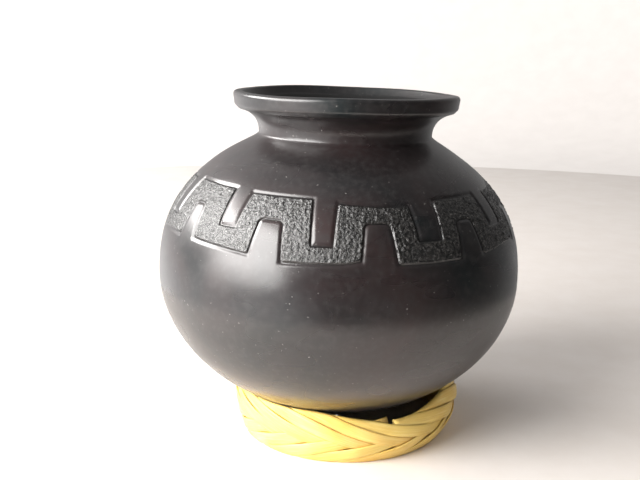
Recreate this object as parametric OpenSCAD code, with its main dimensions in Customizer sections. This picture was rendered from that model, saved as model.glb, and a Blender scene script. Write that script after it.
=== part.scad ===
// Round-bottomed burnished black clay pot with a carved stepped band on its shoulder,
// standing in a ring plaited from palm strips.
// The origin is on the table below the middle of the belly; +Z is up, and -Y is the front.

/* [Pot] */
// Largest diameter of the belly
belly_d = 160; // [120:1:200]
// Height of the widest point above the table
belly_z = 73; // [70:0.5:78]
// Rise of the full curve above the widest point
shoulder_rise = 66.7; // [62:0.1:70]
// Depth of the round bottom below the widest point
bottom_drop = 62.5; // [58:0.1:64]
// Roundness of the curve above the widest point, where 2 is an ellipse
shoulder_power = 2.18; // [2:0.02:2.4]
// Roundness of the bottom's curve, where 2 is an ellipse
bottom_power = 1.94; // [1.9:0.02:2.2]
// Height above the table at which the belly's curve passes into the shoulder
shoulder_z = 90; // [88:0.5:91]
// Fullness of the shoulder
shoulder_pull = 32.9; // [28:0.1:36]
// Thickness of the clay wall
wall = 5; // [4:0.1:7]
// Lean of the pot towards +X in its ring, in degrees
lean = 1.5; // [0:0.1:2]

/* [Neck and lip] */
// Diameter of the neck at its narrowest
neck_d = 75.8; // [72:0.2:80]
// Height of the neck's narrowest point above the table
neck_z = 133.9; // [133:0.1:136]
// Softness of the corner between the shoulder and the neck
neck_foot_pull = 3.5; // [2:0.1:6]
// How far the neck keeps upright before it flares
neck_pull = 8.7; // [5:0.1:9]
// Diameter of the lip
lip_d = 98.2; // [96:0.2:102]
// Height of the top of the lip above the table
lip_z = 152; // [151:0.1:154]
// Height of the lip's upright outer band
lip_band = 5.2; // [4.5:0.1:6]

/* [Carved band] */
// Height of the band's lower edge above the table
band_low = 94.8; // [92:0.1:96]
// Height of the band's upper edge above the table
band_high = 115.2; // [113:0.1:117]
// Depth of the matt ground of the band below the burnished tabs
recess = 0.5; // [0.4:0.1:2]
// Number of tabs that hang from the upper edge, and of tabs that rise from the lower edge
tab_count = 11; // [9:1:12]
// Width of a hanging tab
hanging_w = 9.6; // [8:0.1:11]
// Height of a hanging tab's lower end above the table
hanging_low = 101.2; // [99:0.1:104]
// Width of a rising tab at its foot
rising_foot_w = 14.6; // [12:0.1:16]
// Width of a rising tab at its upper end
rising_top_w = 10.4; // [9:0.1:12]
// Height of a rising tab's upper end above the table
rising_high = 107.6; // [105:0.1:109]
// Radius of a rising tab's upper corners
rising_corner = 2.6; // [1:0.1:4]
// Turn of the first hanging tab from the front towards +X, in degrees
band_turn = -5; // [-16:0.5:16]

/* [Palm ring] */
// Number of strips in the plait's width
strands = 8; // [8:1:8]
// Number of chevrons round the ring
chevrons = 16; // [16:1:16]
// Shift of the ring's middle from the belly's middle towards +X
ring_shift = 2.7; // [0:0.1:3]
// Radius of the plait's mid surface where it meets the table
foot_r = 45.6; // [44:0.1:47]
// Radius of the plait's mid surface at its upper edge
crest_r = 48.2; // [47:0.1:49]
// How far the middle of the plait bulges outwards at the front
bulge = 2.6; // [2:0.1:4]
// How much more it bulges at +X, and less at -X
bulge_shift = 1.6; // [0:0.1:2]
// Thickness of a palm strip at its middle
strip_t = 0.8; // [0.6:0.05:0.9]
// Thickness of a palm strip at its edges
strip_edge_t = 0.4; // [0.3:0.05:0.5]
// How much of the plait's pitch a strip covers
cover = 0.8; // [0.6:0.01:0.82]
// Gap between the pot and the ring's upper edge
seat_gap = 0.3; // [0.2:0.05:0.6]
// Drop of the ring's upper edge at the front right
dip = 6; // [2:0.5:8]

/* [Hidden] */
$fn = 96;

clay = [0.10, 0.10, 0.11];
palm = [0.89, 0.78, 0.42];

// ---- Pot profile ----

// Degrees between the points of the belly's curve
curve_step = 3;

// Point of the belly's curve at angle a, from -90 at the bottom through 0 at the widest point,
// taken in by the depth d
function belly_point(a, d = 0) =
    let (rise = a > 0 ? shoulder_rise : bottom_drop,
         power = a > 0 ? shoulder_power : bottom_power)
    [(belly_d / 2 - d) * pow(cos(a), 2 / power),
     belly_z + sign(a) * (rise - d) * pow(abs(sin(a)), 2 / power)];

// Angles from a to b in even steps of about curve_step
function steps(a, b) =
    let (n = max(1, ceil(abs(b - a) / curve_step)))
    [for (i = [0 : n]) a + (b - a) * i / n];

// Points of an arc round c from angle a to angle b
function arc(c, r, a, b, n) =
    [for (i = [0 : n]) c + r * [cos(a + (b - a) * i / n), sin(a + (b - a) * i / n)]];

// Point at t, from 0 to 1, of the cubic curve with the control points p
function cubic(p, t) =
    pow(1 - t, 3) * p[0] + 3 * pow(1 - t, 2) * t * p[1] + 3 * (1 - t) * t * t * p[2] + pow(t, 3) * p[3];

// The same point, taken in by the depth d
function cubic_inset(p, t, d) =
    let (way = cubic(p, t + 0.001) - cubic(p, t - 0.001))
    cubic(p, t) + d * [-way.y, way.x] / norm(way);

// Place t at which the curve reaches the height z, closed in on from both sides
function cubic_at(p, z, low = 0, high = 1, rounds = 24) =
    let (mid = (low + high) / 2)
    rounds == 0 ? mid
    : cubic(p, mid).y < z ? cubic_at(p, z, mid, high, rounds - 1)
    : cubic_at(p, z, low, mid, rounds - 1);

neck_r = neck_d / 2;
lip_r = lip_d / 2;
lip_round = 1.6;
lip_flare = 0.4;
lip_flat = 1.2;
// Outer end of the lip's underside, seen from the lip's edge
lip_foot = [lip_r - 2.2, lip_z - lip_band - 2.2];
lip_foot_way = [1.2, 0.4];

shoulder_angle = asin(pow((shoulder_z - belly_z) / shoulder_rise, shoulder_power / 2));
shoulder_foot = belly_point(shoulder_angle);
shoulder_way = belly_point(shoulder_angle + 0.1) - belly_point(shoulder_angle - 0.1);
shoulder = [shoulder_foot, shoulder_foot + shoulder_pull * shoulder_way / norm(shoulder_way),
            [neck_r, neck_z - neck_foot_pull], [neck_r, neck_z]];
neck = [[neck_r, neck_z], [neck_r, neck_z + neck_pull], lip_foot - lip_foot_way, lip_foot];
shoulder_steps = 24;
neck_steps = 10;
// Step of the neck's curve at which the inside of the mouth begins
mouth_step = 8;

outer_profile = concat(
    [for (a = steps(-90, shoulder_angle)) belly_point(a)],
    [for (i = [1 : shoulder_steps]) cubic(shoulder, i / shoulder_steps)],
    [for (i = [1 : neck_steps]) cubic(neck, i / neck_steps)],
    [[lip_r - lip_flare, lip_z - lip_band]],
    arc([lip_r - lip_round, lip_z - lip_round], lip_round, 0, 90, 4)
);

inner_profile = concat(
    arc([lip_r - lip_round - lip_flat, lip_z - lip_round], lip_round, 90, 150, 3),
    [for (i = [mouth_step : -1 : 1]) cubic_inset(neck, i / neck_steps, wall)],
    [for (i = [shoulder_steps : -1 : 1]) cubic_inset(shoulder, i / shoulder_steps, wall)],
    [for (a = steps(shoulder_angle, -90)) belly_point(a, wall)]
);

// ---- Carved band ----

band_reach = 8;
band_steps = 8;
tab_overrun = 2;
tab_pitch = 360 / tab_count;
// Distance from the pot's axis at which the tabs' outlines begin, inside the wall
tab_start = 52;

module clay_shell() {
    rotate_extrude()
        polygon(concat(outer_profile, inner_profile));
}

// Ring-shaped cutter from the band's ground outwards, between the band's two edges
module ground_band() {
    from = cubic_at(shoulder, band_low);
    to = cubic_at(shoulder, band_high);
    ground = [for (i = [0 : band_steps]) cubic_inset(shoulder, from + (to - from) * i / band_steps, recess)];
    rotate_extrude()
        polygon(concat(ground,
                       [[ground[band_steps].x + band_reach, ground[band_steps].y],
                        [belly_d / 2 + band_reach, band_high],
                        [belly_d / 2 + band_reach, band_low]]));
}

// Prism that leaves the outline of a tab standing, facing outwards at the given angle
module tab_prism(angle) {
    rotate([0, 0, angle - 90])
        translate([tab_start, 0, 0])
            rotate([90, 0, 90])
                linear_extrude(height = belly_d / 2 + 2 * band_reach - tab_start)
                    children();
}

module hanging_tab() {
    translate([-hanging_w / 2, hanging_low])
        square([hanging_w, band_high + tab_overrun - hanging_low]);
}

module rising_tab() {
    corner = [rising_top_w / 2 - rising_corner, rising_high - rising_corner];
    polygon(concat([[-rising_foot_w / 2, band_low - tab_overrun],
                    [rising_foot_w / 2, band_low - tab_overrun]],
                   arc(corner, rising_corner, 0, 90, 6),
                   arc([-corner.x, corner.y], rising_corner, 90, 180, 6)));
}

module carved_ground() {
    difference() {
        ground_band();
        for (i = [0 : tab_count - 1]) {
            tab_prism(band_turn + i * tab_pitch)
                hanging_tab();
            tab_prism(band_turn + (i + 0.5) * tab_pitch)
                rising_tab();
        }
    }
}

// ---- Palm ring ----

// Degrees round the ring in which a strip goes from one edge to the other and back
period = 360 * strands / chevrons;
// Angle from the front at which strip 0 folds over the upper edge
first_fold = -40.8;
// Height of the layers of the plait: a strip and the air beside it
layer = strip_t + 0.1;
// Layers between the plait's mid surface and a strip, in the middle of the plait and at its edges
middle_reach = 1.42;
edge_reach = 0.62;
// Places across the plait run from -1 at the foot to 1 at the crest. Half its height, in mm:
half_ring = 10.5;
half_strip = cover * 2 / strands;
// Place of the bend's middle line, half the length of the bend, and the way from fold to fold
bend_mid = 1 - (edge_reach * layer + strip_t / 2) / half_ring;
bend_half = PI / 2 * edge_reach * layer / half_ring;
fold_step = 2 * (bend_mid + bend_half);
foot_flat = 0.5;
dip_angle = 30;
dip_spread = 50;
// Where a strip's hidden ends lie, in half periods from a fold
hidden_end = 0.84;
end_gap = 0.6;
// Places across a strip, and the phase in which a fold passes from one of them to the next
across = 7;
fold_pace = half_strip / (across - 1) / fold_step;
// Sections of a strip in one half period: at that pace round the fold, and wider apart between
fold_sections = [for (i = [-5 : 4]) (i + 0.5) * fold_pace];
free_sections = 9;
section_places = concat(fold_sections,
                        [for (i = [1 : free_sections - 1])
                            4.5 * fold_pace + (0.5 - 9 * fold_pace) * i / free_sections]);

function frac(x) = x - floor(x);
function clamp(x, low, high) = max(low, min(high, x));

// Height of the pot's underside at the distance r from the pot's axis
function underside_z(r) =
    belly_z - bottom_drop * pow(1 - pow(2 * r / belly_d, bottom_power), 1 / bottom_power);

// The pot's axis is this far from the ring's middle, at the height of the ring's crest
axis_shift = ring_shift + (belly_z - underside_z(crest_r)) * sin(lean);

// Upper edge of the ring, h out from its mid surface: just under the pot, apart from the dip
function crest_z(t, h) =
    let (r = norm([(crest_r + h) * sin(t) + axis_shift, (crest_r + h) * cos(t)]),
         lowered = ((crest_r + h) * sin(t) + ring_shift) * sin(lean),
         away = clamp((t - dip_angle) / dip_spread, -1, 1))
    underside_z(r) - lowered - seat_gap - dip * (1 + cos(180 * away)) / 2;

// Strip's layer at the phase u. It steps down between the folds, from the outside to the inside.
function depth(u) =
    let (f = frac(2 * u) / 2,
         falling = frac(u) < 0.5,
         middle = 0.25 + (falling ? 1 : -1) / (4 * strands),
         away = clamp((abs(f - 0.25) * 4 - 0.3) / 0.5, 0, 1),
         most = middle_reach + (edge_reach - middle_reach) * away * away * (3 - 2 * away))
    layer * clamp(2 * strands * (middle - f), -most, most);

// Point of the plait at the angle t, place w across it and distance out h
function plait_point(t, w, h) =
    let (top = crest_z(frac((t + 180) / 360) * 360 - 180, h),
         z = max(0, (top + foot_flat) * (1 + w) / 2 - foot_flat),
         swell = (bulge + bulge_shift * sin(t)) * (1 - w * w),
         r = foot_r + (crest_r - foot_r) * (1 + w) / 2 + swell + h)
    [ring_shift + r * sin(t), -r * cos(t), z];

// Point of a strip at the angle t and phase u, at c across it and off its mid surface.
// The strip wraps round each edge in a bend; it doesn't bend at the fold number `straight`.
function strip_point(t, u, c, off, straight) =
    let (q = 2 * u * fold_step + c * half_strip,
         ends_straight = q > (straight - 0.5) * fold_step,
         m = ends_straight ? straight : round(q / fold_step),
         d = q - m * fold_step,
         edge = m % 2 == 0 ? 1 : -1,
         region = ends_straight ? straight - 1 : floor(q / fold_step),
         level = region == floor(2 * u) ? depth(u) : -depth(u),
         turn = 90 * d / bend_half,
         radius = abs(depth(u)) + off * edge)
    abs(d) <= bend_half && !ends_straight
        ? plait_point(t, edge * (bend_mid + radius / half_ring * cos(turn)), radius * sin(turn))
        : plait_point(t, edge * (bend_mid + bend_half - (ends_straight ? -d : abs(d))),
                      level + off * (region % 2 == 0 ? 1 : -1));

// Section of a strip: `across` points on one face, and back along the other
function strip_section(t, u, straight) =
    [for (i = [0 : 2 * across - 1])
        let (j = i < across ? i : 2 * across - 1 - i,
             c = -1 + 2 * j / (across - 1),
             t_here = abs(c) == 1 ? strip_edge_t : strip_t)
        strip_point(t, u, c, (i < across ? 0.5 : -0.5) * t_here, straight)];

// Phases of the sections from one phase to another
function section_phases(from, to) =
    concat([from],
           [for (i = [floor(2 * from) : ceil(2 * to)]) for (p = section_places)
               if (i / 2 + p > from + 0.004 && i / 2 + p < to - 0.004) i / 2 + p],
           [to]);

module strip_body(from, to, phase_shift, straight = 1000) {
    phases = section_phases(from, to);
    n = len(phases) - 1;
    corners = 2 * across;
    points = [for (u = phases)
        each strip_section(first_fold + period * (u - phase_shift), u, straight)];
    sides = [for (i = [0 : n - 1]) for (j = [0 : corners - 1])
        let (a = i * corners + j, b = i * corners + (j + 1) % corners)
        each j < across
            ? [[a, a + corners, b], [b, a + corners, b + corners]]
            : [[a, a + corners, b + corners], [a, b + corners, b]]];
    last = n * corners;
    start_cap = [for (j = [0 : across - 2])
        let (p = corners - 1 - j)
        each [[j, j + 1, p], [j + 1, p - 1, p]]];
    end_cap = [for (f = start_cap) [last + f[0], last + f[2], last + f[1]]];
    polyhedron(points = points, faces = concat(sides, start_cap, end_cap));
}

// Phase at which strip k starts, hidden under others at the back of the ring
function start_phase(k) =
    let (back = (-180 - first_fold) / period + k / strands)
    round(2 * back - hidden_end) / 2 + hidden_end / 2;

// Phase at which strip k comes round to its own start
function end_phase(k) =
    start_phase(k) + 360 / period - end_gap / (crest_r * period) * 180 / PI;

// Strip 6 ends in a cut end at its second fold over the upper edge, and the added strip
// carries on from there
cut_strip = 5;
cut_fold = 2;
cut_before = 0.024;
added_before = 0.008;

module palm_strip(k) {
    color(palm)
        strip_body(start_phase(k), end_phase(k), k / strands);
}

module cut_palm_strip() {
    color(palm)
        strip_body(start_phase(cut_strip), cut_fold / 2 - cut_before, cut_strip / strands, cut_fold);
}

module added_palm_strip() {
    color(palm)
        strip_body(cut_fold / 2 - added_before, end_phase(cut_strip), cut_strip / strands);
}

module pot() {
    color(clay)
        translate([0, 0, belly_z])
            rotate([0, lean, 0])
                translate([0, 0, -belly_z])
                    difference() {
                        clay_shell();
                        carved_ground();
                    }
}

pot();
palm_strip(0);  // palm_strip_1
palm_strip(1);  // palm_strip_2
palm_strip(2);  // palm_strip_3
palm_strip(3);  // palm_strip_4
palm_strip(4);  // palm_strip_5
cut_palm_strip();  // palm_strip_6
palm_strip(6);  // palm_strip_7
palm_strip(7);  // palm_strip_8
added_palm_strip();
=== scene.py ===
import math

import bpy
import numpy as np
from mathutils import Matrix, Vector, noise


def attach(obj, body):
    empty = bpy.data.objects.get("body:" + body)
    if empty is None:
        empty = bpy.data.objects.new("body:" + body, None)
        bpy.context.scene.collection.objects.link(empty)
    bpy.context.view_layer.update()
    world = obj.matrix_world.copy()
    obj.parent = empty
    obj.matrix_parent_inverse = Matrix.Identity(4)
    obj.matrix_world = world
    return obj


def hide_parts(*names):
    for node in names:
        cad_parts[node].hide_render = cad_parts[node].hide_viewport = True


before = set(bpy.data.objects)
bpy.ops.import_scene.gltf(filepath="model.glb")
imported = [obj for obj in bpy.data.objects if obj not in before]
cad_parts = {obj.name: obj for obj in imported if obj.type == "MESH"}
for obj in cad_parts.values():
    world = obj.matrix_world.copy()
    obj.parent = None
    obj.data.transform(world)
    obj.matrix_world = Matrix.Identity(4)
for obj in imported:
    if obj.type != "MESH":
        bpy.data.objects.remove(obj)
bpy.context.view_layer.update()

MM = 0.001

# ---------------------------------------------------------------- camera
# Found by fitting the pot's outline and its carved band. Lens in mm, place in metres, turns in
# radians: down, to the left and anticlockwise.
CAM_LENS = 47.83
CAM_PLACE = Vector((-2.7, -374.9, 173.1)) * MM
CAM_PITCH = 0.2296
CAM_YAW = -0.0147
CAM_ROLL = 0.003

scene = bpy.context.scene


def make_camera():
    data = bpy.data.cameras.new("photo_camera")
    data.lens = CAM_LENS
    data.sensor_width = 36.0
    data.clip_start = 0.01
    data.clip_end = 60.0
    cam = bpy.data.objects.new("photo_camera", data)
    scene.collection.objects.link(cam)
    ahead = Vector((math.sin(CAM_YAW) * math.cos(CAM_PITCH),
                    math.cos(CAM_YAW) * math.cos(CAM_PITCH), -math.sin(CAM_PITCH)))
    right = Vector((math.cos(CAM_YAW), -math.sin(CAM_YAW), 0.0))
    up = right.cross(ahead)
    turned_right = right * math.cos(CAM_ROLL) + up * math.sin(CAM_ROLL)
    turned_up = up * math.cos(CAM_ROLL) - right * math.sin(CAM_ROLL)
    spin = Matrix((turned_right, turned_up, -ahead)).transposed()
    cam.matrix_world = Matrix.Translation(CAM_PLACE) @ spin.to_4x4()
    scene.camera = cam


make_camera()

# ---------------------------------------------------------------- small tools


def smooth(x, low, high):
    """0 below low, 1 above high, and a smooth step between."""
    t = np.clip((np.asarray(x, float) - low) / (high - low), 0.0, 1.0)
    return t * t * (3.0 - 2.0 * t)


def ripple(points, size, seed=0.0):
    """Smooth noise from about -1 to 1 at each point, with features of the given size."""
    shift = Vector((seed * 7.31, seed * 3.17, seed * 5.71))
    return np.array([noise.noise(Vector(p) / size + shift) for p in points])


def pebbles(points, size, seed=0.0):
    """0 in the gaps and 1 on top of packed pebbles of the given size."""
    shift = Vector((seed * 4.7, seed * 2.3, seed * 9.1))
    out = []
    for p in points:
        d = noise.voronoi(Vector(p) / size + shift)[0]
        out.append(min(1.0, (d[1] - d[0]) * 1.6))
    return np.array(out)


def mesh_object(name, verts_mm, faces, attributes=None):
    mesh = bpy.data.meshes.new(name)
    mesh.from_pydata([tuple(v) for v in np.asarray(verts_mm) * MM], [], faces)
    mesh.validate()
    mesh.polygons.foreach_set("use_smooth", [True] * len(mesh.polygons))
    for key, values in (attributes or {}).items():
        layer = mesh.attributes.new(key, "FLOAT", "POINT")
        layer.data.foreach_set("value", np.asarray(values, np.float32))
    mesh.update()
    obj = bpy.data.objects.new(name, mesh)
    scene.collection.objects.link(obj)
    return obj


# ---------------------------------------------------------------- pot: profile

# All in mm, heights above the table. The overall sizes are the CAD pot's.
BELLY_R, BELLY_Z = 80.0, 73.0
# Above and below its widest point the belly is a superellipse: half height and power.
RISE, RISE_POWER = 66.7, 2.18
DROP, DROP_POWER = 62.5, 1.94
WALL = 5.0
LEAN = math.radians(1.5)
# The shoulder runs from the belly's curve at SHOULDER_Z up to the neck's waist.
SHOULDER_Z, SHOULDER_PULL = 90.0, 32.9
NECK_R, NECK_Z, NECK_FOOT_PULL, NECK_PULL = 37.9, 133.9, 3.5, 8.7
LIP_R, LIP_Z, LIP_BAND, LIP_ROUND, LIP_FLAT = 49.1, 152.0, 5.2, 1.6, 1.2
# The neck and the lip sit this far to the right of the belly's middle.
NECK_OFFSET = 1.1
# Carved band: its two edges, and the tabs that hang and rise into it.
BAND_LOW, BAND_HIGH = 94.8, 115.2
TABS = 11
PITCH = 2.0 * math.pi / TABS
BAND_TURN = math.radians(-5.0)
HANGING_LOW, RISING_HIGH = 101.2, 107.6
HANGING_W, FOOT_W, TOP_W = 9.6, 14.6, 10.4
HANGING_CORNER, RISING_CORNER = 0.7, 2.4
# A hanging tab widens by this much on each side per mm of height.
HANGING_FLARE = 0.035


def belly_curve(a, inset=0.0):
    """Point (r, z) of the belly's curve at angle a, from -90 degrees at the bottom."""
    rise = (RISE if a > 0 else DROP) - inset
    power = RISE_POWER if a > 0 else DROP_POWER
    r = (BELLY_R - inset) * max(0.0, math.cos(a)) ** (2.0 / power)
    z = BELLY_Z + math.copysign(rise * abs(math.sin(a)) ** (2.0 / power), a)
    return r, z


def cubic(p, t):
    """Points at each t, from 0 to 1, of the cubic curve with the control points p."""
    t = np.asarray(t, float)[..., None]
    return ((1 - t) ** 3 * p[0] + 3 * (1 - t) ** 2 * t * p[1]
            + 3 * (1 - t) * t ** 2 * p[2] + t ** 3 * p[3])


def cubic_inset(p, t, depth_in):
    """The same curve, moved to its left by depth_in: from the outside into the clay."""
    way = cubic(p, np.asarray(t) + 0.001) - cubic(p, np.asarray(t) - 0.001)
    way /= np.linalg.norm(way, axis=-1, keepdims=True)
    return cubic(p, t) + depth_in * np.stack([-way[..., 1], way[..., 0]], -1)


SHOULDER_ANGLE = math.asin(((SHOULDER_Z - BELLY_Z) / RISE) ** (RISE_POWER / 2))
SHOULDER_WAY = (np.array(belly_curve(SHOULDER_ANGLE + 0.002))
                - np.array(belly_curve(SHOULDER_ANGLE - 0.002)))
SHOULDER_WAY /= np.linalg.norm(SHOULDER_WAY)
SHOULDER_FOOT = np.array(belly_curve(SHOULDER_ANGLE))
SHOULDER = np.array([SHOULDER_FOOT, SHOULDER_FOOT + SHOULDER_PULL * SHOULDER_WAY,
                     [NECK_R, NECK_Z - NECK_FOOT_PULL], [NECK_R, NECK_Z]])
LIP_FOOT = np.array([LIP_R - 2.2, LIP_Z - LIP_BAND - 2.2])
NECK = np.array([[NECK_R, NECK_Z], [NECK_R, NECK_Z + NECK_PULL],
                 LIP_FOOT - np.array([1.2, 0.4]), LIP_FOOT])
WALL_CURVE = np.vstack([[belly_curve(a) for a in np.linspace(0.0, SHOULDER_ANGLE, 200)],
                        cubic(SHOULDER, np.linspace(0.002, 1.0, 800))])


def wall_r(z):
    """Radius of the outside of the pot at heights from the belly up to the neck."""
    return np.interp(z, WALL_CURVE[:, 1], WALL_CURVE[:, 0])


def arc(cx, cz, r, a, b, n):
    """n + 1 points of an arc from a to b degrees."""
    return [(cx + r * math.cos(math.radians(a + (b - a) * i / n)),
             cz + r * math.sin(math.radians(a + (b - a) * i / n))) for i in range(n + 1)]


def spaced(points, step):
    """The same polyline at even steps of about `step`, ends kept."""
    pts = np.array(points, float)
    along = np.r_[0.0, np.cumsum(np.linalg.norm(np.diff(pts, axis=0), axis=1))]
    n = max(1, int(round(along[-1] / step)))
    at = np.linspace(0.0, along[-1], n + 1)
    return np.c_[np.interp(at, along, pts[:, 0]), np.interp(at, along, pts[:, 1])]


def wall_points(z_from, z_to, step):
    """Points of the outside profile between two heights, at even steps."""
    zs = np.linspace(z_from, z_to, 400)
    return spaced(np.c_[wall_r(zs), zs], step)


# ---------------------------------------------------------------- pot: carved band

# Unevenness of the hand carving, for the tabs from the left front round to the right:
# turn in degrees, width and height in mm, each added to the even pattern.
HANGING_ODD = {-1: (0.9, -0.8, 1.8), 0: (-0.5, -0.3, -1.4), 1: (-0.4, 1.4, 0.1), 2: (-1.9, 0.6, 1.8)}
RISING_ODD = {-2: (0.4, -2.2, 1.9), -1: (-0.6, 0.3, 0.6), 0: (-0.5, 0.3, 0.8), 1: (-2.0, -1.0, 0.3)}


# Without a seed, noise_vector gives different tabs in each run.
noise.seed_set(11)


def oddness(table, i):
    """The tab's own unevenness, or a repeatable one for the tabs round the back."""
    i = (i + 5) % TABS - 5
    if i in table:
        return table[i]
    p = Vector((i * 1.37, len(table) * 0.71, 4.2))
    v = noise.noise_vector(p)
    return v.x * 1.6, v.y * 1.6, v.z * 1.6


def edge_wave(theta, heights, seed):
    """Height of a band edge at each angle: control heights round the front, gentle waves behind."""
    angles = np.radians([h[0] for h in heights])
    values = np.array([h[1] for h in heights])
    t = (theta + math.pi) % (2 * math.pi) - math.pi
    front = np.interp(t, angles, values)
    back = (0.7 * np.sin(3 * t + seed) + 0.5 * np.sin(7 * t + 2.1 * seed)
            + 0.25 * np.sin(17 * t + 3.3 * seed))
    w = smooth(np.abs(t), math.radians(66), math.radians(82))
    return front * (1 - w) + back * w


# The band's edges across the front: angle in degrees, and height in mm added to the even edge.
UPPER_EDGE = [(-75, 0.9), (-57, 1.0), (-41, 0.8), (-33, 0.3), (-20, 0.2), (-9, 0.1), (0, -1.1),
              (12, -1.9), (23, -1.8), (35, -0.4), (55, -0.4), (75, 0.2)]
LOWER_EDGE = [(-75, 1.2), (-49, 2.0), (-38, 1.4), (-28, 0.6), (-16, -0.7), (-5, -0.3), (1, -0.1),
              (5, 0.8), (17, -0.5), (30, -0.5), (40, -0.3), (50, 0.0), (60, 0.8), (75, 0.6)]


def box_distance(dx, dz, rounding):
    """Signed distance outside a corner made of two half planes, rounded."""
    px, pz = dx + rounding, dz + rounding
    outside = np.hypot(np.maximum(px, 0), np.maximum(pz, 0))
    return outside + np.minimum(np.maximum(px, pz), 0) - rounding


def soft_min(a, b, k):
    """The lower of a and b, with a fillet of about k where they meet."""
    h = np.clip(0.5 + 0.5 * (b - a) / k, 0.0, 1.0)
    return b + (a - b) * h - k * h * (1.0 - h)


def beside_tab(theta, r, place, turn):
    """Distance round the pot from the middle of the tab at `place` steps, turned by `turn` degrees."""
    a = theta - BAND_TURN - place * PITCH - math.radians(turn)
    a = (a + math.pi) % (2 * math.pi) - math.pi
    return np.abs(r * np.sin(np.clip(a, -1.2, 1.2)))


def carve_distance(theta, z, slope):
    """Distance in mm into the matt ground from its nearest edge; negative on the burnished side."""
    r = wall_r(z)
    low = BAND_LOW + edge_wave(theta, LOWER_EDGE, 1.3)
    high = BAND_HIGH + edge_wave(theta, UPPER_EDGE, 4.1)
    foot = (z - low) * slope
    top = (high - z) * slope
    up = np.clip((z - BAND_LOW) / (RISING_HIGH - BAND_LOW), 0, 1.2)
    hang = np.full_like(z, 1e3)
    rise = np.full_like(z, 1e3)
    for i in range(TABS):
        turn, wide, tall = oddness(HANGING_ODD, i)
        half = (HANGING_W + wide) / 2 + HANGING_FLARE * (z - HANGING_LOW)
        side = beside_tab(theta, r, i, turn) - half
        hang = np.minimum(hang, box_distance(side, (HANGING_LOW + tall - z) * slope, HANGING_CORNER))
        turn, wide, tall = oddness(RISING_ODD, i)
        half = (FOOT_W + wide) / 2 + (TOP_W - FOOT_W) / 2 * up
        side = (beside_tab(theta, r, i + 0.5, turn) - half) * 0.98
        rise = np.minimum(rise, box_distance(side, (z - RISING_HIGH - tall) * slope, RISING_CORNER))
    return np.minimum(soft_min(top, hang, 0.8), soft_min(foot, rise, 1.0))


# Section across the outline of the band, in mm: the burnished side slopes gently into a groove,
# and the matt ground rises steeply from it, to about the height of the burnished side.
SLOPE_RUN = 1.5
WALL_FROM, WALL_TO = -0.42, 0.28
GROOVE = 0.5
GROUND = 0.05


def carve_depth(d):
    """Depth below the burnished surface at the distance d into the ground."""
    slope = GROOVE * smooth(d, WALL_FROM - SLOPE_RUN, WALL_FROM + 0.15)
    wall = (GROOVE - GROUND) * smooth(d, WALL_FROM, WALL_TO)
    return slope - wall


# ---------------------------------------------------------------- pot: mesh


def stitch(faces, low, high):
    """Faces between two rings of vertices; one ring may have twice the vertices of the other."""
    a, b = len(low), len(high)
    if a == b:
        for j in range(a):
            k = (j + 1) % a
            faces.append((low[j], low[k], high[k], high[j]))
    elif b == 2 * a:
        for j in range(a):
            k = (j + 1) % a
            p, q, r = high[2 * j], high[2 * j + 1], high[(2 * j + 2) % b]
            faces += [(low[j], q, p), (low[j], low[k], q), (low[k], r, q)]
    elif a == 2 * b:
        for j in range(b):
            k = (j + 1) % b
            p, q, r = low[2 * j], low[2 * j + 1], low[(2 * j + 2) % a]
            faces += [(high[j], p, q), (high[j], q, high[k]), (high[k], q, r)]


def profile_rows():
    """(r, z, columns, in the band) from the bottom outside, over the lip, to the bottom inside."""
    rows = []

    def add(points, columns, band=False):
        rows.extend((r, z, columns, band) for r, z in points)

    bottom = [belly_curve(math.radians(-90 + 90 * (i / 60) ** 0.9)) for i in range(61)]
    low = spaced(bottom, 2.3)
    low = low[low[:, 1] < BELLY_Z - 1]
    for r, z in low[1:]:
        columns = 64 if r < 12 else 128 if r < 34 else 256
        rows.append((r, z, columns, False))
    add(wall_points(BELLY_Z, 89.4, 1.9), 256)
    add(wall_points(89.9, 90.3, 0.4), 512)
    add(wall_points(90.7, 118.4, 0.44), 1024, True)
    add(wall_points(118.8, 119.2, 0.5), 512)
    add(wall_points(119.8, 128.5, 1.3), 256)
    add(wall_points(129.0, NECK_Z - 0.4, 0.6), 256)
    add(spaced(cubic(NECK, np.linspace(0.0, 1.0, 60)), 0.9), 256)
    # The bevel under the lip, then the lip's face.
    face_z = LIP_Z - LIP_BAND
    add([(LIP_R - 1.75 + 0.5 * i, face_z - 1.75 + 0.5 * i) for i in range(3)], 256)
    add([(LIP_R - 0.5, face_z - 0.2), (LIP_R - 0.42, face_z + 0.3)], 256)
    add([(LIP_R - 0.36 + 0.09 * i, face_z + 0.9 + 0.68 * i) for i in range(4)], 256)
    add(arc(LIP_R - LIP_ROUND, LIP_Z - LIP_ROUND, LIP_ROUND, 0, 90, 8), 256)
    add(arc(LIP_R - LIP_ROUND - LIP_FLAT, LIP_Z - LIP_ROUND, LIP_ROUND, 90, 140, 5), 256)
    add(spaced(cubic_inset(NECK, np.linspace(0.8, 0.0, 60), WALL), 1.4), 256)
    add(spaced(cubic_inset(SHOULDER, np.linspace(0.99, 0.0, 200), WALL), 3.0), 128)
    inner = [belly_curve(a, WALL) for a in np.linspace(SHOULDER_ANGLE - 0.03, math.radians(-60), 200)]
    add(spaced(inner, 3.4), 128)
    rows.extend((*belly_curve(math.radians(a), WALL), 64, False) for a in (-66, -72, -78, -84, -88))
    return rows


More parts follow.
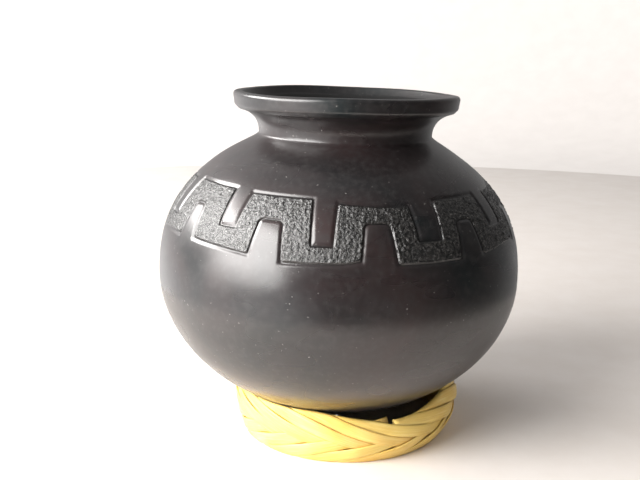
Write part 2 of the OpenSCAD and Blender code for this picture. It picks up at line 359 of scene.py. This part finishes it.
def onto_edges(theta, z, r, slope):
    """Angles and heights moved a little, so that a line of vertices runs along each carved edge."""
    step = 0.02
    for _ in range(2):
        d = carve_distance(theta, z, slope)
        d_theta = (carve_distance(theta + step / r, z, slope) - d) / step
        d_up = (carve_distance(theta, z + step / slope, slope) - d) / step
        length = np.maximum(0.3, d_theta ** 2 + d_up ** 2)
        target = np.where(np.abs(d - WALL_FROM) < 0.2, WALL_FROM,
                          np.where(np.abs(d - WALL_TO) < 0.2, WALL_TO, d))
        move = (target - d) / length
        theta = theta + np.clip(move * d_theta, -0.2, 0.2) / r
        z = z + np.clip(move * d_up, -0.2, 0.2) / slope
    return theta, z


def pitted(points, d):
    """Height of the pitted ground at points that lie d into it."""
    rough = np.zeros(len(points))
    near = d > 0.1
    if near.any():
        where = points[near]
        rough[near] = smooth(d[near], 0.15, 0.7) * (0.46 * (pebbles(where, 1.5, 1.0) - 0.62)
                                                    + 0.16 * ripple(where, 2.2, 2.0))
    return rough


def hand_made(verts):
    """The even pot with the unevenness of a hand-built one, the same outside and inside."""
    radial = np.hypot(verts[:, 0], verts[:, 1])
    wobble = 0.32 * ripple(verts, 46.0, 3.0) + 0.10 * ripple(verts, 15.0, 5.0)
    k = 1.0 + wobble * smooth(radial, 10, 30) / np.maximum(radial, 1.0)
    verts[:, 0] *= k
    verts[:, 1] *= k
    # The lip's height waves slightly, and neck and lip sit a little to one side.
    theta = np.arctan2(verts[:, 0], -verts[:, 1])
    top = smooth(verts[:, 2], 137, 147)
    verts[:, 2] += top * (0.22 * np.sin(2 * theta + 0.6) + 0.14 * np.sin(5 * theta + 2.0) - 0.3)
    verts[:, 0] += NECK_OFFSET * smooth(verts[:, 2], 123, 134)
    return verts


def leaning(verts):
    """The pot leans to the right in its ring, about the middle of its belly."""
    x = verts[:, 0]
    z = verts[:, 2] - BELLY_Z
    return np.c_[x * math.cos(LEAN) + z * math.sin(LEAN), verts[:, 1],
                 z * math.cos(LEAN) - x * math.sin(LEAN) + BELLY_Z]


def make_pot():
    rows = profile_rows()
    radii = np.array([row[0] for row in rows])
    heights = np.array([row[1] for row in rows])
    # Normal of the profile at each row, pointing out of the clay.
    dr, dz = np.gradient(radii), np.gradient(heights)
    size = np.hypot(dr, dz)
    nr, nz = dz / size, -dr / size
    lip_row = int(np.argmax(heights))
    rings, verts, carved, edge, inside = [], [], [], [], []
    for i, (r, z, columns, band) in enumerate(rows):
        theta = np.arange(columns) * 2 * math.pi / columns
        rr = np.full(columns, float(r))
        zz = np.full(columns, float(z))
        d = np.full(columns, -9.0)
        if band:
            slope = 1.0 / max(0.2, float(nr[i]))
            theta, zz = onto_edges(theta, zz, r, slope)
            rr = wall_r(zz)
            d = carve_distance(theta, zz, slope)
        points = np.c_[rr * np.sin(theta), -rr * np.cos(theta), zz]
        if band:
            out = np.c_[nr[i] * np.sin(theta), -nr[i] * np.cos(theta), np.full(columns, nz[i])]
            points = points + out * (pitted(points, d) - carve_depth(d))[:, None]
        rings.append([int(v) for v in np.arange(len(verts), len(verts) + columns)])
        verts.extend(points)
        carved.extend(smooth(d, WALL_FROM, WALL_TO))
        # Mask along the bottom of the outline groove, where the material paints shade.
        edge.extend(np.exp(-((d - WALL_FROM) / 0.2) ** 2))
        # Mask of the inside, where the material paints shade and dulls the gloss.
        inside.extend([float(smooth(i - lip_row, 5, 10))] * columns)
    verts = leaning(hand_made(np.array(verts)))

    faces = []
    for low, high in zip(rings[:-1], rings[1:]):
        stitch(faces, low, high)
    # One vertex closes the bottom outside, and one the bottom inside.
    under, within = len(verts), len(verts) + 1
    first, last = rings[0], rings[-1]
    bottoms = [verts[first].mean(0) - (0.0, 0.0, 0.03), verts[last].mean(0) - (0.0, 0.0, 0.02)]
    verts = np.vstack([verts, bottoms])
    carved += [0.0, 0.0]
    edge += [0.0, 0.0]
    inside += [0.0, 1.0]
    faces += [(under, first[(j + 1) % len(first)], first[j]) for j in range(len(first))]
    faces += [(within, last[j], last[(j + 1) % len(last)]) for j in range(len(last))]
    return mesh_object("clay_pot", verts, faces, {"carved": carved, "edge": edge, "inside": inside})


# ---------------------------------------------------------------- palm ring

# Lengths in mm. Along a strip, its phase u grows by 1 for each turn down and up again, so it is
# folded at every half. Across the ring's wall, w goes from -1 at the lower edge to 1 at the upper.
STRANDS, CHEVRONS = 8, 16
PERIOD = 2 * math.pi * STRANDS / CHEVRONS
FIRST_FOLD = math.radians(-40.8)
# The ring stands a little to the right of the pot's middle.
RING_SHIFT = 2.7
# Radius of the wall's foot and crest, and how far it bulges between them, more so on the right.
FOOT_R, CREST_R, BULGE, BULGE_SHIFT = 45.6, 48.2, 2.6, 1.6
STRIP_T = 0.95
# Distance between layers, how many layers in or out a strip goes in the wall, and at its folds.
LAYER = 1.0
REACH = 1.42
EDGE_REACH = 0.62
HALF_RING = 10.5
COVER = 0.99
HALF_STRIP = COVER * 2.0 / STRANDS
# Middle and half length of the bend round each fold, as parts of the half height.
BEND_MID = 1 - (EDGE_REACH * LAYER + STRIP_T / 2) / HALF_RING
BEND_HALF = 0.5 * math.pi * EDGE_REACH * LAYER / HALF_RING
FOLD_STEP = 2 * (BEND_MID + BEND_HALF)
# The crest follows the pot's underside, except where it dips at the front right.
SEAT_GAP, DIP, DIP_ANGLE, DIP_SPREAD = 0.15, 6.0, math.radians(30), math.radians(50)
# The lower folds are pressed flat on the table by this much.
FOOT_FLAT = 0.5
# Each strip starts behind the ring, this part of the way from one fold to the next, goes once
# round, and ends END_GAP mm before its own start.
HIDDEN_END = 0.84
END_GAP = 0.6
# The strip that runs out at the front, the fold it does so at, and how far before that fold, in
# phases, its end and the start of the added strip are.
CUT_STRIP, CUT_FOLD, CUT_BEFORE, ADDED_BEFORE = 5, 2, 0.024, 0.008


def underside_z(r):
    """Height of the pot's underside at the radius r, before the lean."""
    return BELLY_Z - DROP * (1 - (r / BELLY_R) ** DROP_POWER) ** (1 / DROP_POWER)


AXIS_SHIFT = RING_SHIFT + (BELLY_Z - underside_z(CREST_R)) * math.sin(LEAN)


def crest_z(t, h):
    """Height of the ring's crest at angle t, h outside the middle of its wall."""
    t = (t + math.pi) % (2 * math.pi) - math.pi
    out = CREST_R + h
    r = math.hypot(out * math.sin(t) + AXIS_SHIFT, out * math.cos(t))
    lowered = (out * math.sin(t) + RING_SHIFT) * math.sin(LEAN)
    away = min(1.0, max(-1.0, (t - DIP_ANGLE) / DIP_SPREAD))
    return underside_z(r) - lowered - SEAT_GAP - DIP * (1 + math.cos(math.pi * away)) / 2


def depth(u):
    """Signed layer of a strip at phase u: outside after each fold, inside before the next."""
    f = (2 * u - math.floor(2 * u)) / 2
    falling = u - math.floor(u) < 0.5
    middle = 0.25 + (1 if falling else -1) / (4 * STRANDS)
    off = abs(f - 0.25) * 4
    reach = REACH + (EDGE_REACH - REACH) * float(smooth(off, 0.3, 0.8))
    return max(-reach, min(reach, 2 * STRANDS * (middle - f)))


def plait_point(t, w, h):
    """Point of the ring's wall at angle t and height w, h outside the middle of the wall."""
    z = max(0.0, (crest_z(t, h) + FOOT_FLAT) * (1 + w) / 2 - FOOT_FLAT)
    swell = (BULGE + BULGE_SHIFT * math.sin(t)) * (1 - w * w)
    r = FOOT_R + (CREST_R - FOOT_R) * (1 + w) / 2 + swell + h
    return RING_SHIFT + r * math.sin(t), -r * math.cos(t), z


def strip_point(t, u, c, wide, off, straight):
    """Point of a strip: at angle t and phase u, at c across it, and off its mid surface by off mm."""
    q = 2 * u * FOLD_STEP + c * wide
    level = depth(u) * LAYER
    here = math.floor(2 * u)
    if straight is not None:
        here = min(here, straight - 1)
        if u > straight / 2:
            level = -EDGE_REACH * LAYER
    m = round(q / FOLD_STEP)
    d = q - m * FOLD_STEP
    if straight is not None and q > (straight - 0.5) * FOLD_STEP:
        m, d = straight, q - straight * FOLD_STEP
        edge = 1 if m % 2 == 0 else -1
        w = edge * (BEND_MID + BEND_HALF + d)
        return plait_point(t, w, level + off * (1 if here % 2 == 0 else -1))
    edge = 1 if m % 2 == 0 else -1
    if abs(d) <= BEND_HALF:
        a = math.pi / 2 * d / BEND_HALF
        radius = abs(level) + off * edge
        w = edge * (BEND_MID + radius / HALF_RING * math.cos(a))
        return plait_point(t, w, radius * math.sin(a))
    region = m if d > 0 else m - 1
    w = edge * (BEND_MID - (abs(d) - BEND_HALF))
    if region != here:
        level = -level
    return plait_point(t, w, level + off * (1 if region % 2 == 0 else -1))


# Cross-section of a strip: place across it, and which face.
ACROSS = 13
SECTION = [(-1 + 2 * i / (ACROSS - 1), 1) for i in range(ACROSS)]
SECTION += [(1 - 2 * i / (ACROSS - 1), -1) for i in range(ACROSS)]


def section_shape(c, side):
    """A face's height off the mid surface at c across a strip, in thicknesses; side is 1 or -1."""
    body = (1 - abs(c) ** 3.2) ** 0.5 if abs(c) < 1 else 0.0
    return side * (0.5 * (0.25 + 0.75 * body))


def strip_phases(start, end):
    """Evenly spaced phases from start to end."""
    pace = HALF_STRIP / (ACROSS - 1) / FOLD_STEP
    first, last = math.ceil(start / pace + 0.8), math.floor(end / pace - 0.8)
    return [start] + [(i + 0.5) * pace for i in range(first, last)] + [end]


def make_strip(name, start, end, phase_shift, tone, straight=None):
    """Strip from phase start to end; with straight given, it reaches that fold without folding."""
    verts, along, across = [], [], []
    phases = strip_phases(start, end)
    for u in phases:
        t = FIRST_FOLD + PERIOD * (u - phase_shift)
        thick = STRIP_T * (1 + 0.08 * noise.noise(Vector((u * 9, tone * 17, 0))))
        wide = HALF_STRIP * (1 + 0.05 * noise.noise(Vector((u * 6, tone * 23, 5))))
        for c, side in SECTION:
            verts.append(strip_point(t, u, c, wide, thick * section_shape(c, side), straight))
            along.append((u - start) * PERIOD * CREST_R)
            across.append(c * 2.6 + (7.0 if side < 0 else 0.0))
    n, m = len(phases), len(SECTION)
    faces = []
    for i in range(n - 1):
        for j in range(m):
            k = (j + 1) % m
            faces.append((i * m + j, i * m + k, (i + 1) * m + k, (i + 1) * m + j))
    faces.append(tuple(range(m - 1, -1, -1)))
    faces.append(tuple((n - 1) * m + j for j in range(m)))
    return mesh_object(name, verts, faces,
                       {"along": along, "across": across, "tone": [tone] * len(verts)})


def start_phase(k):
    """Phase at which strip k starts, behind the ring."""
    back = (-math.pi - FIRST_FOLD) / PERIOD + k / STRANDS
    return math.floor(2 * back - HIDDEN_END + 0.5) / 2 + HIDDEN_END / 2


def end_phase(k):
    return start_phase(k) + 2 * math.pi / PERIOD - END_GAP / (CREST_R * PERIOD)


# ---------------------------------------------------------------- materials


def link(tree, a, b):
    tree.links.new(a, b)


def new_material(name):
    mat = bpy.data.materials.new(name)
    mat.use_nodes = True
    tree = mat.node_tree
    tree.nodes.clear()
    out = tree.nodes.new("ShaderNodeOutputMaterial")
    shader = tree.nodes.new("ShaderNodeBsdfPrincipled")
    link(tree, shader.outputs["BSDF"], out.inputs["Surface"])
    return mat, tree, shader


def attribute(tree, name):
    made = tree.nodes.new("ShaderNodeAttribute")
    made.attribute_name = name
    return made.outputs["Fac"]


def maths(tree, operation, a, b):
    made = tree.nodes.new("ShaderNodeMath")
    made.operation = operation
    for socket, v in zip(made.inputs, (a, b)):
        if isinstance(v, float):
            socket.default_value = v
        else:
            link(tree, v, socket)
    return made.outputs[0]


def remap(tree, value, low, high, to_low, to_high):
    """Value from low..high to to_low..to_high, held at the ends."""
    made = tree.nodes.new("ShaderNodeMapRange")
    made.inputs["From Min"].default_value = low
    made.inputs["From Max"].default_value = high
    made.inputs["To Min"].default_value = to_low
    made.inputs["To Max"].default_value = to_high
    link(tree, value, made.inputs["Value"])
    return made.outputs["Result"]


def mix_colour(tree, factor, a, b):
    made = tree.nodes.new("ShaderNodeMix")
    made.data_type = "RGBA"
    link(tree, factor, made.inputs["Factor"])
    for socket, v in ((made.inputs[6], a), (made.inputs[7], b)):
        if isinstance(v, tuple):
            socket.default_value = (*v, 1.0)
        else:
            link(tree, v, socket)
    return made.outputs[2]


def object_coords(tree, scale=(1.0, 1.0, 1.0)):
    coords = tree.nodes.new("ShaderNodeTexCoord")
    mapping = tree.nodes.new("ShaderNodeMapping")
    mapping.inputs["Scale"].default_value = scale
    link(tree, coords.outputs["Object"], mapping.inputs["Vector"])
    return mapping.outputs["Vector"]


def noise_texture(tree, vector, scale, detail=3.0, roughness=0.5, distortion=0.0):
    made = tree.nodes.new("ShaderNodeTexNoise")
    made.inputs["Scale"].default_value = scale
    made.inputs["Detail"].default_value = detail
    made.inputs["Roughness"].default_value = roughness
    made.inputs["Distortion"].default_value = distortion
    link(tree, vector, made.inputs["Vector"])
    return made.outputs["Fac"]


def bump(tree, height, distance, strength=1.0, under=None):
    made = tree.nodes.new("ShaderNodeBump")
    made.inputs["Distance"].default_value = distance
    made.inputs["Strength"].default_value = strength
    link(tree, height, made.inputs["Height"])
    if under is not None:
        link(tree, under, made.inputs["Normal"])
    return made.outputs["Normal"]


def clay_material():
    mat, tree, shader = new_material("burnished_black_clay")
    plain = object_coords(tree)
    carved = attribute(tree, "carved")
    edge = attribute(tree, "edge")
    inside = attribute(tree, "inside")
    # Colour: blue-black with warm, faintly purple clouds, which are painted reflection of warm
    # surroundings.
    warm_reflection_clouds = noise_texture(tree, plain, 17.0, 3.0, 0.55, 0.6)
    warm_reflection_clouds = remap(tree, warm_reflection_clouds, 0.30, 0.72, 0.0, 1.0)
    body = mix_colour(tree, warm_reflection_clouds, (0.003, 0.007, 0.008), (0.025, 0.015, 0.015))
    fine = noise_texture(tree, plain, 420.0, 2.0)
    body = mix_colour(tree, remap(tree, fine, 0.45, 0.75, 0.0, 0.5), body, (0.032, 0.030, 0.030))
    # A few specks of dust.
    dust = noise_texture(tree, plain, 1100.0, 0.0, 0.5)
    body = mix_colour(tree, remap(tree, dust, 0.82, 0.86, 0.0, 0.6), body, (0.25, 0.24, 0.23))
    # The matt ground is gritty; along its outline groove the colour is darkened as painted shade, and
    # the inside is darkened as painted shade and made dull.
    grit = noise_texture(tree, plain, 900.0, 3.0, 0.7)
    ground = remap(tree, grit, 0.4, 0.7, 0.0, 1.0)
    ground = mix_colour(tree, ground, (0.003, 0.003, 0.003), (0.055, 0.053, 0.051))
    colour = mix_colour(tree, carved, body, ground)
    # Painted shade: darker colour along the bottom of the outline groove.
    colour = mix_colour(tree, maths(tree, "MULTIPLY", edge, 0.85), colour, (0.004, 0.004, 0.004))
    # Painted shade: darker colour on the inside of the pot.
    colour = mix_colour(tree, inside, colour, (0.006, 0.006, 0.006))
    link(tree, colour, shader.inputs["Base Color"])
    # Gloss: burnished, with strokes of the stone that run round the pot.
    strokes = noise_texture(tree, object_coords(tree, (1.0, 1.0, 4.0)), 30.0, 0.0, 0.5)
    patches = noise_texture(tree, plain, 28.0, 2.0)
    rough = maths(tree, "ADD", remap(tree, strokes, 0.1, 0.9, -0.06, 0.06),
                  remap(tree, patches, 0.1, 0.9, 0.20, 0.38))
    rough = maths(tree, "SUBTRACT", rough, maths(tree, "MULTIPLY", carved, 0.06))
    rough = maths(tree, "ADD", rough, maths(tree, "MULTIPLY", inside, 0.35))
    link(tree, rough, shader.inputs["Roughness"])
    shader.inputs["IOR"].default_value = 1.68
    shine = maths(tree, "SUBTRACT", 0.5, maths(tree, "MULTIPLY", inside, 0.35))
    shine = maths(tree, "ADD", shine, maths(tree, "MULTIPLY", carved, 0.05))
    link(tree, shine, shader.inputs["Specular IOR Level"])
    # Relief too fine for the mesh: a faint grain all over, and grit on the ground.
    level = bump(tree, noise_texture(tree, plain, 700.0, 2.0), 0.00003, 0.4)
    level = bump(tree, maths(tree, "MULTIPLY", grit, carved), 0.0006, 1.0, level)
    link(tree, level, shader.inputs["Normal"])
    return mat


def palm_material():
    mat, tree, shader = new_material("palm_leaf")
    tone = attribute(tree, "tone")

    def strip_coords(along, across, apart):
        """Coordinates that run with the strip, scaled, and apart from those of the other strips."""
        made = tree.nodes.new("ShaderNodeCombineXYZ")
        link(tree, maths(tree, "MULTIPLY", attribute(tree, "along"), along), made.inputs["X"])
        link(tree, maths(tree, "MULTIPLY", attribute(tree, "across"), across), made.inputs["Y"])
        link(tree, maths(tree, "MULTIPLY", tone, apart), made.inputs["Z"])
        return made.outputs["Vector"]

    fibres = noise_texture(tree, strip_coords(0.06, 2.4, 31.0), 1.6, 4.0, 0.6)
    patches = noise_texture(tree, strip_coords(0.045, 0.12, 13.0), 1.4, 2.0)
    # Colour: ripe straw yellow, its tone different from strip to strip, with brown and pale fibres.
    ripe = mix_colour(tree, remap(tree, patches, 0.3, 0.7, 0.0, 1.0),
                      (0.72, 0.43, 0.085), (0.82, 0.60, 0.19))
    ripe = mix_colour(tree, maths(tree, "MULTIPLY", tone, 0.5), ripe, (0.66, 0.52, 0.13))
    lines = remap(tree, fibres, 0.52, 0.72, 0.0, 0.45)
    colour = mix_colour(tree, lines, ripe, (0.52, 0.31, 0.07))
    pale = remap(tree, fibres, 0.48, 0.30, 0.0, 0.35)
    colour = mix_colour(tree, pale, colour, (0.90, 0.80, 0.46))
    link(tree, colour, shader.inputs["Base Color"])
    link(tree, remap(tree, fibres, 0.3, 0.7, 0.36, 0.52), shader.inputs["Roughness"])
    shader.inputs["IOR"].default_value = 1.45
    link(tree, bump(tree, fibres, 0.00015, 0.6), shader.inputs["Normal"])
    return mat


# ---------------------------------------------------------------- build

clay = clay_material()
palm = palm_material()

pot = make_pot()
pot.data.materials.append(clay)
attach(pot, "pot")
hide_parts("pot")

# Tone of each strip, and of the added one: 0 is ripe yellow, 1 is greener.
TONES = [0.15, 0.7, 0.35, 0.9, 0.5, 0.05, 0.8, 0.25]
ADDED_TONE = 0.6


def add_strip(cad_node, *shape):
    strip = make_strip("woven_" + cad_node, *shape)
    strip.data.materials.append(palm)
    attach(strip, "ring")
    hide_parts(cad_node)


for k, tone in enumerate(TONES):
    cad_node, shift = f"palm_strip_{k + 1}", k / STRANDS
    if k == CUT_STRIP:
        add_strip(cad_node, start_phase(k), CUT_FOLD / 2 - CUT_BEFORE, shift, tone, CUT_FOLD)
        add_strip("added_palm_strip", CUT_FOLD / 2 - ADDED_BEFORE, end_phase(k), shift, ADDED_TONE)
    else:
        add_strip(cad_node, start_phase(k), end_phase(k), shift, tone)

# ---------------------------------------------------------------- floor and backdrop


def turned_sheet(name, outline, parts=96):
    """Open sheet made by turning an outline of (r, z) in metres once round the middle."""
    row = parts + 1
    verts = [(r * 1000 * math.sin(t), -r * 1000 * math.cos(t), z * 1000)
             for r, z in outline for t in np.linspace(0.0, 2 * math.pi, row)]
    faces = [(i * row + j, i * row + j + 1, (i + 1) * row + j + 1, (i + 1) * row + j)
             for i in range(len(outline) - 1) for j in range(parts)]
    return mesh_object(name, verts, faces)


def pale_material(name, dark, light, glow=0.0):
    mat, tree, shader = new_material(name)
    speck = noise_texture(tree, object_coords(tree), 35.0, 4.0, 0.6)
    tint = mix_colour(tree, remap(tree, speck, 0.35, 0.65, 0.0, 1.0), dark, light)
    link(tree, tint, shader.inputs["Base Color"])
    shader.inputs["Roughness"].default_value = 0.65
    shader.inputs["Emission Color"].default_value = (*light, 1.0)
    shader.inputs["Emission Strength"].default_value = glow
    return mat


# In metres. Only the floor near the pot shows in its gloss.
NEAR_FLOOR_R, FLOOR_R, BACKDROP_CURVE, BACKDROP_TOP = 0.25, 0.85, 0.5, 1.8
# Just under the ring, so that the two don't flicker.
FLOOR_Z = -0.00005


def make_stage():
    """Round floor that curves up into a backdrop."""
    wall_r_m = FLOOR_R + BACKDROP_CURVE
    bend = [(FLOOR_R + BACKDROP_CURVE * math.sin(a), BACKDROP_CURVE * (1 - math.cos(a)) + FLOOR_Z)
            for a in np.linspace(0.0, math.pi / 2, 13)]
    outlines = {"floor": [(r, FLOOR_Z) for r in (0.0005, 0.15, NEAR_FLOOR_R)],
                "far_floor": [(r, FLOOR_Z) for r in (NEAR_FLOOR_R, 0.5, FLOOR_R)],
                "backdrop": bend + [(wall_r_m, BACKDROP_TOP)]}
    white = pale_material("pale_floor", (0.80, 0.745, 0.70), (0.83, 0.78, 0.74))
    paper = pale_material("pale_backdrop", (0.82, 0.78, 0.75), (0.85, 0.81, 0.78), 0.15)
    for name, outline in outlines.items():
        sheet = turned_sheet(name, outline)
        sheet.data.materials.append(paper if name == "backdrop" else white)
        sheet.visible_glossy = name == "floor"
        sheet.visible_diffuse = name != "backdrop"
        sheet.visible_shadow = name != "backdrop"


make_stage()

# ---------------------------------------------------------------- light


WARM = (1.0, 0.98, 0.96)


def area_light(name, place, target, size, power, colour=WARM):
    data = bpy.data.lights.new(name, "AREA")
    data.shape = "RECTANGLE"
    data.size, data.size_y = size
    data.energy = power
    data.color = colour
    lamp = bpy.data.objects.new(name, data)
    scene.collection.objects.link(lamp)
    place, target = Vector(place), Vector(target)
    lamp.location = place
    lamp.rotation_mode = "QUATERNION"
    lamp.rotation_quaternion = (target - place).to_track_quat("-Z", "Y")
    lamp.visible_camera = False
    return lamp


# Soft light from a window in front on the left, and a pale wall on the left that only gloss shows.
area_light("window", (-0.80, -0.52, 0.50), (0.0, 0.0, 0.10), (0.84, 0.82), 26.0, (1.0, 0.985, 0.965))
left_wall = area_light("left_wall", (-0.95, 0.20, 0.62), (0.0, 0.0, 0.10), (0.60, 0.46), 18.0)
left_wall.visible_diffuse = False
# Light bounced onto the ring's left, and onto the floor behind on the left.
bounce = area_light("bounce", (-0.42, -0.18, 0.17), (0.0, 0.0, 0.02), (0.26, 0.20), 2.4)
bounce.visible_glossy = False
wash = area_light("wash", (-0.75, 0.55, 0.75), (-0.75, 0.75, 0.0), (0.6, 0.6), 9.0, (1.0, 1.0, 1.0))
wash.visible_glossy = False


def make_world():
    """Even light for the floor; in the gloss, a room that is pale to the left and above, and
    dim to the right; and a pale backdrop behind."""
    world = bpy.data.worlds.new("studio")
    scene.world = world
    world.use_nodes = True
    tree = world.node_tree
    tree.nodes.clear()
    out = tree.nodes.new("ShaderNodeOutputWorld")

    def background(colour, strength):
        made = tree.nodes.new("ShaderNodeBackground")
        made.inputs["Color"].default_value = (*colour, 1.0)
        if isinstance(strength, float):
            made.inputs["Strength"].default_value = strength
        else:
            link(tree, strength, made.inputs["Strength"])
        return made.outputs["Background"]

    def choose(factor, a, b):
        made = tree.nodes.new("ShaderNodeMixShader")
        link(tree, factor, made.inputs["Fac"])
        link(tree, a, made.inputs[1])
        link(tree, b, made.inputs[2])
        return made.outputs["Shader"]

    way = tree.nodes.new("ShaderNodeSeparateXYZ")
    link(tree, tree.nodes.new("ShaderNodeTexCoord").outputs["Generated"], way.inputs[0])
    left = remap(tree, way.outputs["X"], -0.10, -0.60, 0.0, 1.0)
    back = remap(tree, way.outputs["Y"], 0.1, 0.9, 0.0, 0.35)
    high = remap(tree, way.outputs["Z"], 0.4, 1.0, 0.0, 0.36)
    high = maths(tree, "MULTIPLY", high, remap(tree, way.outputs["X"], 0.35, -0.25, 0.15, 1.0))
    # The left side is palest where a bright table would lie.
    left = maths(tree, "MULTIPLY", left, remap(tree, way.outputs["Z"], 0.10, -0.20, 0.6, 1.7))
    level = maths(tree, "ADD", left, maths(tree, "ADD", back, high))
    level = maths(tree, "ADD", level, 0.05)
    path = tree.nodes.new("ShaderNodeLightPath")
    lit = choose(path.outputs["Is Glossy Ray"], background((1.0, 0.97, 0.95), 0.4),
                 background((1.0, 0.98, 0.97), level))
    lit = choose(path.outputs["Is Camera Ray"], lit, background((1.0, 0.965, 0.94), 1.0))
    link(tree, lit, out.inputs["Surface"])


make_world()
scene.view_settings.view_transform = "Standard"
